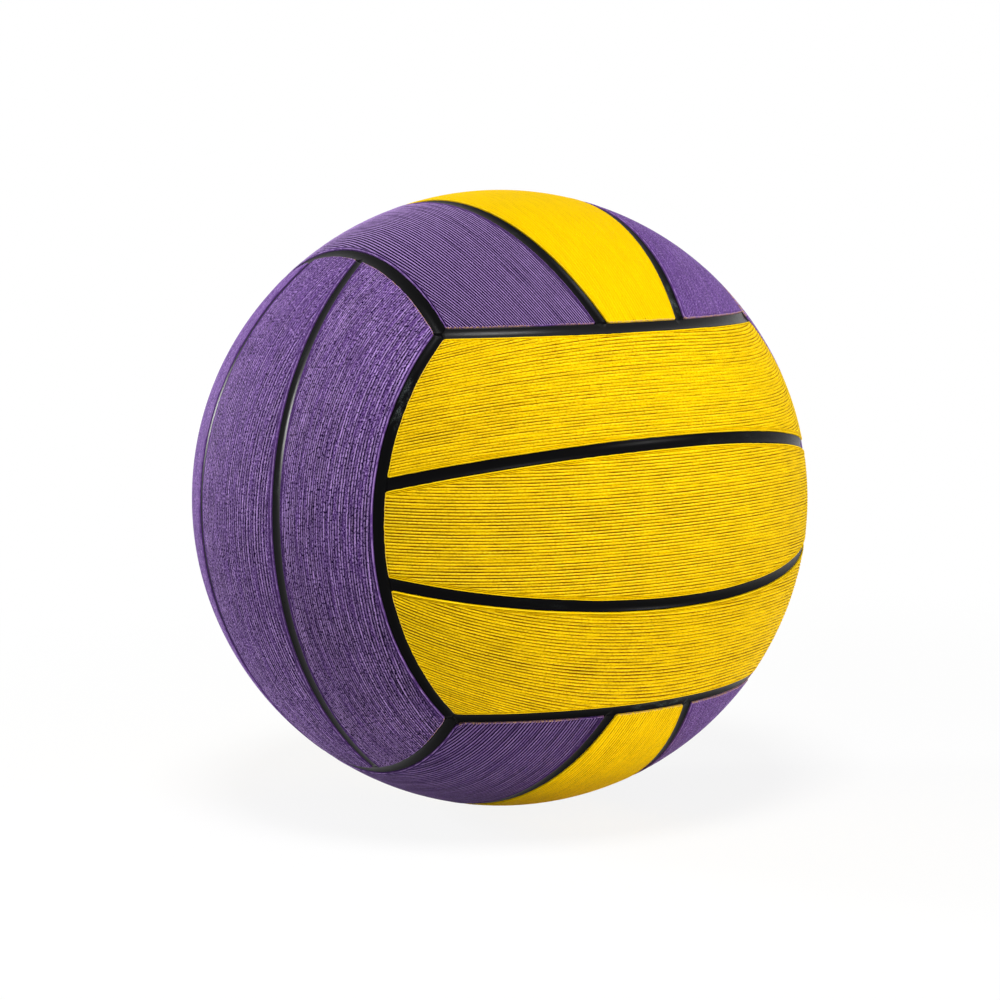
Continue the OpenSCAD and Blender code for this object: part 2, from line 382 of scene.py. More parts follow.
def ribbed_rubber(name, base, groove_colour, ridge_colour, tan, shine):
    """Matt moulded rubber. Its grooves are darker with painted shade, in dashes along the ribs, and each
    has a paler ridge beside it, a painted highlight. Dots, streaks and grain run over it all. A dotted
    line follows the long edges, the trimmed edges are paler with a painted highlight, and the ends show
    specks of the tan layer below. Each panel's tone paints shade and light over it."""
    f = Finish(name)
    place = f.node("TexCoord", output="Object")
    along = f.node("UVMap", {"uv_map": "along_ribs"})
    kinds = ("groove", "ridge", "side", "tip", "tone", "dotted")
    groove, ridge, side, tip, tone, dotted = [f.attribute(kind) for kind in kinds]
    edge = side.least(tip)
    # Long streaks, dashes and short dots along the ribs, fine grain and broad mottling
    streaks = f.noise(along, 1, detail=3, roughness=0.65, stretch=(9, 80, 1))
    dashes = f.noise(along, 1, detail=2, roughness=0.6, stretch=(32, 150, 1))
    dots = f.noise(along, 1, detail=2, roughness=0.6, stretch=(145, 260, 1))
    grain = f.noise(place, 2600, detail=2)
    mottling = f.noise(place, 30, detail=3)
    # Grooves are dark in dashes, a painted shade that deep grooves make darker still, and ridges pale, a
    # painted highlight; dots and specks where the rubber is worn, which also strengthens the ridges'
    # painted highlight
    worn = dotted * (0.3 + 0.7 * side.between(0.3, 0.9))
    depth = groove.between(0.08, 1) * (1 - (0.12 + 0.4 * dotted) * (1 - dashes.between(0.36, 0.62)))
    depth = (depth + 0.5 * groove.between(0.9, 1.8)).least(1)
    paler = (ridge.between(0.1, 1.3) * (0.35 + 0.4 * worn) + 0.5 * ridge.between(0.9, 2)).least(1)
    shade = f.mixed(paler, base, ridge_colour)
    shade = f.mixed(depth, shade, groove_colour)
    shade = f.mixed(dots.between(0.54, 0.6) * worn, shade, groove_colour)
    specks = (1 - dots).between(0.56, 0.64) * (1 - 0.6 * depth)
    shade = f.mixed(specks * worn * 0.8, shade, ridge_colour)
    # A dotted line beside the long edges
    line = side.between(0.12, 0.2) * (1 - side.between(0.2, 0.3)) * dots.between(0.42, 0.56)
    shade = f.mixed(line * (0.3 + 0.5 * dotted), shade, groove_colour)
    # Painted shade and painted light: the panel's tone darkens it towards the groove colour below 1 and
    # brightens it above 1, and the streaks and the mottling add to it
    lengthways = (streaks.between(0.32, 0.68) - 0.5) * (0.06 + 0.44 * dotted)
    shade = f.mixed(1 - tone, shade, groove_colour)
    light = (0.82 + 0.06 * mottling + lengthways) * tone.greatest(1) + 0.1
    grey = f.node("CombineColor", {}, {"Red": light, "Green": light, "Blue": light})
    shade = f.mixed(1.0, shade, grey, blend="MULTIPLY")
    # Painted highlight on the rounded lips of the trimmed edges, and tan specks where the ends are torn
    rim = (1 - edge.between(0.06, 0.13)) * edge.between(0.0, 0.04) * dashes.between(0.35, 0.6)
    shade = f.mixed(rim * 0.5, shade, ridge_colour)
    torn = (1 - tip.between(0.03, 0.14)) * dots.between(0.47, 0.53) * mottling.between(0.42, 0.5)
    shade = f.mixed(torn * 0.9, shade, tan)
    roughness = 0.55 + 0.16 * streaks + 0.12 * depth
    height = 0.5 * streaks + (0.2 + 0.4 * worn) * dots + 0.25 * grain
    sheen = {"Specular IOR Level": shine, "Specular Tint": (*ridge_colour, 1)}
    return f.finish(shade, roughness, height, 0.09 * MM, **sheen)


def channel_rubber(name, base, dust_and_highlight_colour, shine):
    """Half-gloss black rubber with fine grey-green specks along the floor of the channel: partly dust,
    partly a painted highlight.
    """
    f = Finish(name)
    place = f.node("TexCoord", output="Object")
    along = f.node("UVMap", {"uv_map": "along_strip"})
    waves = f.noise(along, 1, detail=3, stretch=(22, 60, 1))
    grain = f.noise(place, 3200, detail=3, roughness=0.7)
    patches = f.noise(place, 22, detail=1).between(0.58, 0.68)
    # Grey-green specks along the strip's floor, in patches: partly dust, partly a painted highlight
    bloom_and_highlight = waves.between(0.4, 0.66) * grain.between(0.4, 0.62) * f.attribute("floor") * patches
    shade = f.mixed(bloom_and_highlight * 0.8, base, dust_and_highlight_colour)
    roughness = 0.18 + 0.16 * waves + 0.1 * grain
    height = 0.5 * waves + 0.5 * grain
    return f.finish(shade, roughness, height, 0.05 * MM, **{"Specular IOR Level": shine})


def turned_rubber(name, base):
    """Smooth soft rubber of the valve, with faint turned rings and dust."""
    f = Finish(name)
    place = f.node("TexCoord", output="Object")
    x, z = [f.node("SeparateXYZ", {}, {"Vector": place}, output=axis) for axis in "XZ"]
    radius = (x * x + z * z) ** 0.5
    rings = f.node("Math", {"operation": "SINE"}, {0: radius * (2 * math.pi / (0.35 * MM))})
    grain = f.noise(place, 2400, detail=3)
    patches = f.noise(place, 300, detail=2)
    shade = f.mixed(grain.between(0.5, 0.75) * 0.25, base, scaled(base, 2.4))
    roughness = 0.42 + 0.2 * patches
    height = 0.25 * rings + 0.75 * grain
    return f.finish(shade, roughness, height, 0.03 * MM)


def calendered_rubber(name, base):
    """Sheet rubber of the layers, with fine grain and broad mottling."""
    f = Finish(name)
    place = f.node("TexCoord", output="Object")
    grain = f.noise(place, 1800, detail=3)
    mottling = f.noise(place, 90, detail=4)
    shade = f.mixed(mottling.between(0.35, 0.7) * 0.4, base, scaled(base, 1.8))
    return f.finish(shade, 0.55 + 0.2 * mottling, grain, 0.05 * MM)


def wound_thread(name, cement, thread):
    """Nylon thread wound every way round a sphere, in clear cement."""
    f = Finish(name)
    place = f.node("TexCoord", output="Object")
    height = None
    for turn in ((0.3, 0.2, 0.1), (1.3, 0.5, 0.9), (0.4, 1.6, 2.2), (2.1, 0.9, 0.5)):
        rotated = f.node("Mapping", {}, {"Vector": place, "Rotation": turn})
        settings = {"wave_type": "BANDS", "bands_direction": "Z", "wave_profile": "SIN"}
        inputs = {"Vector": rotated, "Scale": 260, "Distortion": 1.5, "Detail": 2}
        threads = f.node("TexWave", settings, inputs, output="Fac")
        height = threads if height is None else height.greatest(threads)
    grain = f.noise(place, 2200, detail=2)
    shade = f.mixed(height, cement, thread)
    return f.finish(shade, 0.45 + 0.3 * grain, height, 0.15 * MM)


# Surfaces


def put_in_scene(name, data):
    """Adds an object at the origin for a mesh, a camera or a lamp."""
    item = bpy.data.objects.new(name, data)
    bpy.context.scene.collection.objects.link(item)
    return item


def new_mesh(name, mesh):
    """Makes a Blender mesh. A triangle's missing fourth corner is -1, and faces are smooth unless
    the mesh says which are."""
    data = bpy.data.meshes.new(name)
    points, faces = mesh["points"], mesh["faces"]
    corners = faces[faces >= 0]
    totals = (faces >= 0).sum(1)
    data.vertices.add(len(points))
    data.vertices.foreach_set("co", points.astype(np.float32).ravel())
    data.loops.add(len(corners))
    data.loops.foreach_set("vertex_index", corners.astype(np.int32))
    data.polygons.add(len(faces))
    data.polygons.foreach_set("loop_start", np.r_[0, np.cumsum(totals)[:-1]].astype(np.int32))
    smooth = mesh.get("smooth", np.ones(len(faces), bool))
    data.polygons.foreach_set("use_smooth", smooth)
    for map_name, places in mesh.get("maps", {}).items():
        layer = data.uv_layers.new(name=map_name)
        layer.uv.foreach_set("vector", places[faces >= 0].astype(np.float32).ravel())
    for attribute, values in mesh.get("numbers", {}).items():
        item = data.attributes.new(attribute, "FLOAT", "POINT")
        item.data.foreach_set("value", values.astype(np.float32))
    data.update(calc_edges=True)
    data.validate()
    return data


def add_piece(name, mesh, material, node):
    """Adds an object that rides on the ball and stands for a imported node."""
    piece = put_in_scene(name, new_mesh(name, mesh))
    piece.data.materials.append(material)
    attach(piece, BODY)
    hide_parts(node)
    return piece


def ripples(rng, count, x, shortest, longest, waves=4):
    """Smooth random rows from -1 to 1: each is the mean of sines of x with random lengths."""
    lengths = rng.uniform(shortest, longest, (count, waves, 1))
    phases = rng.uniform(0, 2 * math.pi, (count, waves, 1))
    return np.sin(2 * math.pi * x / lengths + phases).mean(1)


def clouds(rng, x, y, shortest, longest, waves=6):
    """Smooth random field from -1 to 1: the mean of plane waves in random directions."""
    turn, phase = rng.uniform(0, 2 * math.pi, (2, waves))
    step = 2 * math.pi / rng.uniform(shortest, longest, waves)
    fields = [
        np.sin(k * (x * math.cos(a) + y * math.sin(a)) + p) for k, a, p in zip(step, turn, phase)
    ]
    return sum(fields) / waves


def smooth_rise(x, low, high):
    """0 up to low, 1 from high on, and a smooth rise between them."""
    t = np.clip((x - low) / (high - low), 0, 1)
    return t * t * (3 - 2 * t)


def cells(one, other):
    """The four corners of each cell between rows of a grid and the rows beside them."""
    corners = [one[:, :-1], other[:, :-1], other[:, 1:], one[:, 1:]]
    return np.stack(corners, 2).reshape(-1, 4, *one.shape[2:])


def round_ids(r, sides):
    """Numbers of a grid's points, whose columns go round an axis and close at the first one again.
    A row on the axis is one point, a pole."""
    ids = np.arange(len(r) * sides).reshape(len(r), sides)
    ids = np.where(r[:, None] < 1e-9, ids[:, :1], ids)
    return np.c_[ids, ids[:, :1]]


def to_sphere(points, radius):
    """Points moved straight from or to the ball's centre, on to a sphere."""
    return points / np.linalg.norm(points, axis=-1, keepdims=True) * radius


def border_tilt():
    """Latitude of the circles that part the faces: a cube's corner as seen from its centre."""
    return math.asin(1 / math.sqrt(3))


def channel_angle(s):
    """Half the channel's width, as an angle at the ball's centre."""
    return math.asin(s.channel_width / s.diameter)


def panel_edges(side, s):
    """The planes x = c + k z of a panel's two long edges on the unit sphere, as pairs (c, k)."""
    k = math.tan(s.seam_tilt)
    c = s.channel_width / s.diameter / math.cos(s.seam_tilt)
    if side == 0:
        return (c, -k), (-c, k)
    return (c, k), (math.sin(border_tilt() - channel_angle(s)), 0)


def on_panel(v, t, edges, end_z):
    """Point of a panel on the unit sphere, and half its curve's length there.
    The plane x = c + k z cuts the sphere in a circle. c and k run evenly from one long edge, at v = 0,
    to the other, at v = 1, and t runs along the circle, from -1 to 1, between its ends at z = end_z."""
    (c0, k0), (c1, k1) = edges
    c = c0 + (c1 - c0) * v
    k = k0 + (k1 - k0) * v
    n = np.sqrt(1 + k * k)
    offset = c / n
    rho = np.sqrt(1 - offset**2)
    half = np.arccos((end_z * n + k * offset) / rho)
    u = t * half
    x = (offset + rho * np.cos(u) * k) / n
    z = (rho * np.cos(u) - k * offset) / n
    return np.stack([x, rho * np.sin(u), z], -1), rho * half


# A rib, from the bottom of one groove to the next: where its rows lie, how deep they are, how pale, and
# which of them is the fine line on its crest. The paleness is a painted highlight on the flank before the
# next groove.
RIB_PHASES = np.array([0, 0.13, 0.28, 0.5, 0.72, 0.87])
RIB_DEPTHS = np.array([1, 0.72, 0.18, 0, 0.05, 0.66])
RIB_PALENESS = np.array([0, 0, 0.3, 0.55, 1, 0.4])
FINE_LINE = np.array([0, 0, 0, 1, 0, 0])
DEEPEST_GROOVE = 2.4
# A line along a panel's long edge: how deep its four rows are, and how pale, the paleness being a painted
# highlight
EDGE_LINES = 2
LINE_DEPTHS = (0.3, 1, 0.3, 0)
LINE_PALENESS = (0, 0, 0.2, 0.4)
# Lengths in metres that set the fine waves of a panel's trimmed ends
END_WAVE = 0.0011
END_WAVE_BEAT = 0.0037
END_TOOTH_BEAT = 0.002
# The line across a panel's ends: how far in it lies, and how wide it is
END_LINE_AT = 0.62 * MM
END_LINE_WIDTH = 0.12 * MM
DENT_DEPTH = 0.03 * MM
HOLE_LIP = 0.3 * MM
# Distance from an edge at which the numbers side and tip reach 1
EDGE_REACH = 3 * MM
# Metres to one unit of the maps along_ribs and along_strip
MAP_UNIT = 0.1


def lip_steps(lip):
    """Distances from a panel's edge over its rounded lip: a quarter circle from the wall to the top."""
    return lip * (1 - np.cos(np.linspace(0, math.pi / 2, 5)))


def lip_drop(distance, lip):
    """Depth of a quarter circle of radius lip, at a distance from the edge."""
    return lip - np.sqrt(np.clip(lip**2 - np.clip(lip - distance, 0, None) ** 2, 0, None))


class RibbedPanel:
    """A closed panel of the top face, from its ribbed top to its under side. Its columns run across
    it and its rows along the ribs. side is 0 for a middle panel and 1 for an outer one."""

    def __init__(self, side, ribs, painted_shade_tones, seed, corners, round_hole=0):
        self.s = sizes()
        self.radius = self.s.diameter / 2
        self.side, self.ribs, self.painted_shade_tones = side, ribs, painted_shade_tones
        self.rng = np.random.default_rng(seed)
        self.edges = panel_edges(side, self.s)
        self.end_z = math.sin(border_tilt() + channel_angle(self.s))
        self.lip = lip_steps(self.s.lip)
        self.set_columns(round_hole)
        self.set_bands()
        self.set_ribs()
        self.set_grid(seed, corners)
        self.set_depths(round_hole)

    def at(self, v, t):
        """Point of this panel on the unit sphere, and half its curve's length there."""
        return on_panel(v, t, self.edges, self.end_z)

    def along(self, v, distance):
        """t of a column on the curve v, at this distance from its end if it is in an end band."""
        half = self.radius * self.at(v, 0 * v)[1]
        inside = self.share_inside * (1 - self.s.end_margin / half)
        in_band = self.which_end * (1 - np.where(np.isinf(distance), 0, distance) / half)
        return np.where(self.which_end == 0, inside, in_band)

    def set_columns(self, round_hole):
        """Columns lie at set distances from the nearer end in the two end bands, and at even steps
        between them, closer at the hole. x is their place along the panel's middle line."""
        s = self.s
        band = np.r_[self.lip, s.lip + (s.end_margin - s.lip) * np.linspace(0, 1, 7)[1:]]
        inner = np.linspace(-1, 1, s.columns + 2)[1:-1]
        if round_hole:
            inner = np.union1d(inner, np.linspace(-round_hole, round_hole, 41))
        ones = np.ones(len(band))
        self.from_end = np.r_[band, np.full(len(inner), np.inf), band[::-1]]
        self.which_end = np.r_[-ones, np.zeros(len(inner)), ones]
        self.share_inside = np.r_[-ones, inner, ones]
        centre = np.full(len(self.from_end), 0.5)
        t = self.along(centre, self.from_end)
        start, finish = [self.at(edge + 0 * centre, t)[0] for edge in (0, 1)]
        self.width = self.radius * np.arccos((start * finish).sum(-1))
        self.x = t * self.radius * self.at(centre, t)[1]

    def set_bands(self):
        """A band of fine lines along each long edge, a narrow one at an outer panel's border."""
        s = self.s
        rows = len(LINE_DEPTHS)
        steps = s.edge_line_pitch / rows * np.arange(1, rows * EDGE_LINES + 1)
        plain = np.zeros(len(self.lip))
        self.bands = []
        for lines in (EDGE_LINES, 1 if self.side else EDGE_LINES):
            distance = np.r_[self.lip, s.lip + steps[:rows * lines]]
            depth = 0.9 + 0.4 * ripples(self.rng, len(distance), self.x, 0.01, 0.05)
            self.bands.append({
                "distance": distance,
                "groove": np.r_[plain, np.tile(LINE_DEPTHS, lines)][:, None] * depth,
                "ridge": np.r_[plain, np.tile(LINE_PALENESS, lines)][:, None] * depth,
            })
        self.margins = [band["distance"][-1] for band in self.bands]

    def between_bands(self, name, middle):
        """The rows of the ribs, between those of the two bands."""
        low, high = [band[name] for band in self.bands]
        return np.concatenate([low, middle, high[::-1]])

    def set_ribs(self):
        """A groove lies where the distance from the seam, or from the middle panel's middle line,
        less what the ribs' slope moves it, is a number of pitches. It wanders a little, and the rest
        of a rib lies evenly between two grooves. Rows that stay in the bands are left out."""
        x, width, uneven = self.x, self.width, self.ribs.uneven
        self.pitch = self.s.rib_pitch * self.ribs.pitch
        slope, arch, bend = np.radians((self.ribs.slope, self.ribs.arch, self.ribs.bend))
        reach = np.abs(x).max()
        self.moved = slope * x + arch * x**2 / (2 * reach) + bend * x**3 / (3 * reach**2)
        inner_edge = 0 if self.side else -width.max() / 2
        first = math.floor((inner_edge - self.moved.max()) / self.pitch) - 1
        last = math.ceil((inner_edge + width.max() - self.moved.min()) / self.pitch) + 1
        self.count = last - first + 1
        wander = (0.05 + 0.1 * uneven) * ripples(self.rng, self.count, x, 0.03, 0.12)
        wander = wander + (0.04 + 0.1 * uneven) * self.rng.uniform(-1, 1, (self.count, 1))
        grooves = self.pitch * (np.arange(first, last + 1)[:, None] + wander)
        phases = RIB_PHASES[None, :, None]
        rows = grooves[:-1, None] * (1 - phases) + grooves[1:, None] * phases
        rows = rows.reshape(-1, len(x)) + self.moved
        rib_v = rows / width if self.side else self.middle_v(rows)
        self.low, self.high = self.margins[0] / width, 1 - self.margins[1] / width
        self.shown = ((rib_v > self.low) & (rib_v < self.high)).any(1)
        self.rib_v = rib_v[self.shown]

    def middle_v(self, distance):
        """v at a distance from the middle panel's middle line: there x = (2 v - 1) (c + k z), and z
        is found again for each better v."""
        c, k = self.edges[1]
        v = np.full(distance.shape, 0.5)
        for _ in range(4):
            z = self.at(v, self.along(v, self.from_end))[0][..., 2]
            v = (1 + np.sin(distance / self.radius) / (c + k * z)) / 2
        return v

    def set_grid(self, seed, corners):
        """The points' v and t. Trimmed edges and ends wander inward in waves, which die out across
        the bands, and the corners are rounded. across is the distance from the middle line."""
        s, x, rng = self.s, self.x, self.rng
        long_waves = 0.5 + 0.5 * ripples(rng, 2, x, 0.012, 0.06, 5)
        short_waves = (0.5 + 0.5 * ripples(rng, 2, x, 0.0035, 0.007, 2)) * (
            smooth_rise(ripples(rng, 2, x, 0.03, 0.08, 2), 0.1, 0.5))
        waves = s.edge_wave * (0.55 * long_waves + 0.45 * short_waves)
        low_v, high_v = [
            (band["distance"][:, None] + (1 - band["distance"] / end)[:, None] ** 2 * wave)
            / self.width
            for band, end, wave in zip(self.bands, self.margins, waves)
        ]
        v = np.concatenate([low_v, np.clip(self.rib_v, self.low, self.high), 1 - high_v[::-1]])
        self.across = across = (v - 0.5) * self.width
        end_wave = 0.5 + 0.35 * np.sin(across / END_WAVE + 3 * np.sin(across / END_WAVE_BEAT) + seed)
        teeth = np.sin(2 * math.pi * across / self.pitch + 4 * np.sin(across / END_TOOTH_BEAT))
        end_wave = end_wave + 0.15 * teeth
        fade = (1 - np.minimum(self.from_end / s.end_margin, 1)) ** 2
        t = self.along(v, self.from_end + 0.6 * s.edge_wave * end_wave * fade)
        self.v, self.t = with_round_corners(
            v, t, self.width, self.radius * self.at(v, t)[1], corners)
        self.unit, self.half = self.at(self.v, self.t)

    def set_depths(self, round_hole):
        """How deep and how pale each point is. Grooves vary from one to the next, along themselves
        and in patches, and end short of the panel's ends and of the hole. A line crosses the ends.
        A point's drop is the lip's quarter circle, its groove's share and a shallow dent."""
        s, x, rng, count = self.s, self.x, self.rng, self.count
        uneven = self.ribs.uneven
        no_edge = np.full(len(self.rib_v), np.inf)
        self.from_edge = self.between_bands("distance", no_edge)
        edge = np.minimum(self.from_edge[:, None], self.from_end[None, :])
        patches = np.interp(self.t, (-1, 1), (self.ribs.depth_before, self.ribs.depth_after)) * (
            1 + (0.08 + 0.37 * uneven) * clouds(rng, x, self.across, 0.01, 0.05))
        strength = 0.85 + (0.1 + 0.5 * uneven) * ripples(rng, count, x, 0.004, 0.03)
        strength = strength + (0.05 + 0.4 * uneven) * rng.uniform(-1, 1, (count, 1))
        strength = np.clip(strength, 0.2, 1.35)
        fine = np.clip(0.55 * rng.uniform(-0.7, 1, (count - 1, 1)) * (
            0.7 + 0.6 * ripples(rng, count - 1, x, 0.008, 0.04)), 0, 0.5) * min(2.5 * uneven, 1)
        first_half = RIB_PHASES[None, :, None] < 0.5
        nearer = np.where(first_half, strength[:-1, None], strength[1:, None])
        ribs = RIB_DEPTHS[None, :, None] * nearer + FINE_LINE[None, :, None] * fine[:, None]
        pale = RIB_PALENESS[None, :, None] * nearer
        ribs, pale = [rows.reshape(-1, len(x))[self.shown] for rows in (ribs, pale)]
        near_end = smooth_rise(self.from_end, 0.1 * MM, 0.5 * MM)
        groove = self.between_bands("groove", ribs) * patches * near_end
        end_line = np.exp(-(((self.from_end - END_LINE_AT) / END_LINE_WIDTH) ** 2))
        broken = smooth_rise(clouds(rng, 0 * self.across, self.across, 0.002, 0.012), 0, 0.4)
        groove = groove + end_line * 0.5 * broken
        from_hole = np.full(self.v.shape, np.inf)
        if round_hole:
            from_hole = self.radius * np.hypot(self.unit[..., 0], self.unit[..., 1]) - hole_radius()
            groove = groove * smooth_rise(from_hole, 0.5 * MM, 2.2 * MM)
        dents = DENT_DEPTH * (1 + ripples(rng, 1, x, 0.02, 0.07)) * np.ones(self.v.shape)
        drop = lip_drop(edge, s.lip) + s.rib_depth * np.minimum(groove, DEEPEST_GROOVE)
        drop = drop + dents * smooth_rise(edge, 0, 2 * MM)
        drop = drop + lip_drop(np.clip(from_hole, 0, None), HOLE_LIP)
        # The groove also darkens the colour as painted shade, and the ridge is the painted highlight
        # beside each groove
        self.groove = groove
        self.ridge = self.between_bands("ridge", pale) * patches**0.75 * near_end
        self.ridge = self.ridge * smooth_rise(from_hole, 0, 2 * MM)
        self.top_points = (self.unit * (self.radius - drop)[..., None]).reshape(-1, 3)

    def point_ids(self):
        """Each grid point's number. Rows that run into a band share its innermost row there."""
        n_rows, n_cols = self.v.shape
        first, last = [len(band["distance"]) for band in self.bands]
        last = n_rows - last
        owner = np.repeat(np.arange(n_rows)[:, None], n_cols, 1)
        inner = np.where(self.rib_v >= self.high, last, owner[first:last])
        owner[first:last] = np.where(self.rib_v <= self.low, first - 1, inner)
        return owner * n_cols + np.arange(n_cols)

    def mesh(self):
        """The top, the wall that follows its outline down, and the under side: a coarser grid,
        bridged to the wall at its ends."""
        ids = self.point_ids()
        top = without_repeats(cells(ids[:-1], ids[1:]))
        ends = [one_after_another(ids[:, j]) for j in (0, -1)]
        outline = np.r_[ends[0], ids[-1, 1:-1], ends[1][::-1], ids[0, 1:-1][::-1]]
        base = len(self.top_points)
        under_of = np.full(base, -1)
        under_of[outline] = base + np.arange(len(outline))
        ring = np.r_[outline, outline[0]]
        wall = cells(ring[None], under_of[ring][None])
        under_radius = self.radius - self.s.panel_thickness
        rim = to_sphere(self.top_points[outline], under_radius)
        shares = np.linspace(0, 1, 8)[1:-1]
        low_rim, high_rim = [rim[under_of[ids[i, 1:-1]] - base] for i in (0, -1)]
        inner = to_sphere(low_rim + shares[:, None, None] * (high_rim - low_rim), under_radius)
        grid = base + len(outline) + np.arange(inner[..., 0].size).reshape(len(shares), -1)
        grid = np.concatenate([under_of[ids[:1, 1:-1]], grid, under_of[ids[-1:, 1:-1]]])
        under = np.roll(cells(grid[1:], grid[:-1]), -1, 1)
        bridges = [
            bridge(np.r_[grid[0, j], under_of[end], grid[-1, j]], grid[:, j], j == 0)
            for j, end in zip((0, -1), ends)
        ]
        under = np.concatenate([under, *bridges])
        points = np.concatenate([self.top_points, rim, inner.reshape(-1, 3)])
        faces = np.concatenate([top, wall, under])
        return compacted({
            "points": points,
            "faces": faces,
            "smooth": np.arange(len(faces)) < len(top) + len(wall),
            "maps": {
                "along_ribs": self.rib_map(points)[faces],
                "OFBake": self.bake_map(points, top, wall, under),
            },
            "numbers": self.numbers(len(points) - base),
        })

    def rib_map(self, points):
        """Distance along the panel and, across it, from the ribs' own curved lines."""
        along = np.broadcast_to(self.t * self.half * self.radius, self.v.shape)
        top = np.stack([along, self.across - self.moved], -1).reshape(-1, 2)
        return np.concatenate([top, points[len(top):, 1:3]]) / MAP_UNIT

    def bake_map(self, points, top, wall, under):
        """The map that finishes are baked to: the top fills most of it, the wall is a thin band
        over it, and the under side a band over that."""
        t, v = self.t.ravel(), self.v.ravel()
        on_top = np.stack([0.5 + 0.49 * t, 0.02 + 0.84 * v], -1)
        turn = np.r_[np.linspace(0.01, 0.99, len(wall)), 0.99]
        low, high = [np.stack([turn, np.full(len(turn), y)], -1)[None] for y in (0.875, 0.89)]
        below = np.array([0.5, 0.945]) + points[:, [1, 0]] * (0.49, 0.05) / self.radius
        top = np.clip(top, 0, len(on_top) - 1)
        return np.concatenate([on_top[top], cells(low, high), below[under]])

    def numbers(self, extra):
        """What the finishes read at each point. The under side's points come after the top's."""
        n_rows, n_cols = self.v.shape
        side = np.repeat(np.clip(self.from_edge / EDGE_REACH, 0, 1)[:, None], n_cols, 1)
        tip = np.repeat(np.clip(self.from_end / EDGE_REACH, 0, 1)[None], n_rows, 0)
        # The panel's painted shade and painted light, running between its two tones from end to end
        tone = np.interp(self.t, (-1, 1), self.painted_shade_tones)
        values = {
            "groove": (np.clip(self.groove, 0, 3), 0),
            "ridge": (np.clip(self.ridge, 0, 3), 0),
            "dotted": (np.full(self.v.shape, self.ribs.uneven), self.ribs.uneven),
            "tone": (tone, 1),
            "side": (side, 0),
            "tip": (tip, 0),
        }
        return {name: np.r_[top.ravel(), np.full(extra, rest)] for name, (top, rest) in values.items()}


def with_round_corners(v, t, width, half, corners):
    """Moves the points near each corner: the square of their distances from the two edges, within
    the corner's radius, becomes a quarter disc with its middle at the square's inner corner."""
    a = np.minimum(v, 1 - v) * width
    b = (1 - np.abs(t)) * half
    corner = np.array(corners)[(v > 0.5).astype(int), (t > 0).astype(int)]
    qa, qb = np.clip(corner - a, 0, None), np.clip(corner - b, 0, None)
    turn = np.maximum(qa, qb) / np.maximum(np.hypot(qa, qb), 1e-9)
    turn = np.where((qa > 0) & (qb > 0), turn, 1)
    inside = turn < 1
    a = np.where(inside, corner - qa * turn, a) / width
    b = np.where(inside, corner - qb * turn, b) / half
    return np.where(v > 0.5, 1 - a, a), np.where(t > 0, 1 - b, b - 1)


def hole_radius():
    """Radius of the hole for the valve's neck, with its clearance."""
    return VALVE.neck_d / 2 + VALVE.neck_gap


def one_after_another(ids):
    """Drops each id that repeats the one before it."""
    return ids[np.r_[True, ids[1:] != ids[:-1]]]


def without_repeats(quads):
    """Quads with four points stay. Those with two equal neighbours become triangles, or go."""
    same = quads == np.roll(quads, -1, 1)
    quads = quads[same.sum(1) <= 1]
    same = quads == np.roll(quads, -1, 1)
    order = (same.argmax(1)[:, None] + 1 + np.arange(4)) % 4
    closed = np.take_along_axis(quads, order, 1)
    closed[:, 3] = -1
    return np.where(same.any(1)[:, None], closed, quads)


def bridge(fine, coarse, forward):
    """Triangles between a fine and a coarse row of points that share their two ends."""
    last = len(coarse) - 1
    share = (np.arange(len(fine) - 1) + 0.5) / (len(fine) - 1)
    nearest = np.round(share * last).astype(int)
    nearest[0], nearest[-1] = 0, last
    first = np.stack([fine[:-1], coarse[nearest], fine[1:]], -1)
    step = np.searchsorted(nearest, np.arange(last) + 1)
    second = np.stack([coarse[:-1], coarse[1:], fine[step]], -1)
    triangles = np.concatenate([first, second])
    apart = triangles != np.roll(triangles, 1, 1)
    triangles = triangles[apart.all(1)]
    if not forward:
        triangles = triangles[:, ::-1]
    return np.c_[triangles, np.full(len(triangles), -1)]


def compacted(mesh):
    """Leaves out the points that no face uses."""
    faces = mesh["faces"]
    used, places = np.unique(faces[faces >= 0], return_inverse=True)
    mesh["points"] = mesh["points"][used]
    mesh["numbers"] = {name: values[used] for name, values in mesh["numbers"].items()}
    new = faces.copy()
    new[faces >= 0] = places
    mesh["faces"] = new
    return mesh


def put_on_face(mesh, face, mirrored=False):
    """Turns a mesh of the top face to another face, after mirroring it across its middle plane."""
    points = mesh["points"]
    if mirrored:
        points = points * (-1, 1, 1)
        faces = mesh["faces"]
        quad = faces[:, 3] >= 0
        order = np.where(quad[:, None], [3, 2, 1, 0], [2, 1, 0, 3])
        mesh["faces"] = np.take_along_axis(faces, order, 1)
        mesh["maps"] = {
            name: np.take_along_axis(places, order[..., None], 1)
            for name, places in mesh["maps"].items()
        }
    mesh["points"] = points @ np.array(FACE_TURNS[face], float)
    return mesh


# How far a strip's shoulders, its sag and its lean lower its top
SHOULDER_DROP = 0.09 * MM
STRIP_SAG = 0.035 * MM
STRIP_LEAN = 0.03 * MM
# Shares of the strips' clearance that part a seam strip from the wall at its end, and two border
# strips from each other at their mitre
SEAM_END_SHARE = 0.95
MITRE_SHARE = 0.06


def floor_height(y, s, radius):
    """Height of a strip's hollow floor at a distance y from its middle line: a round hollow."""
    half = s.channel_width / 2 - s.strip_clearance
    hollow = s.floor_hollow
    curve = (half**2 + hollow**2) / (2 * hollow)
    lowest = radius - s.lip - hollow
    return lowest + curve - np.sqrt(np.clip(curve**2 - y**2, 0, None))


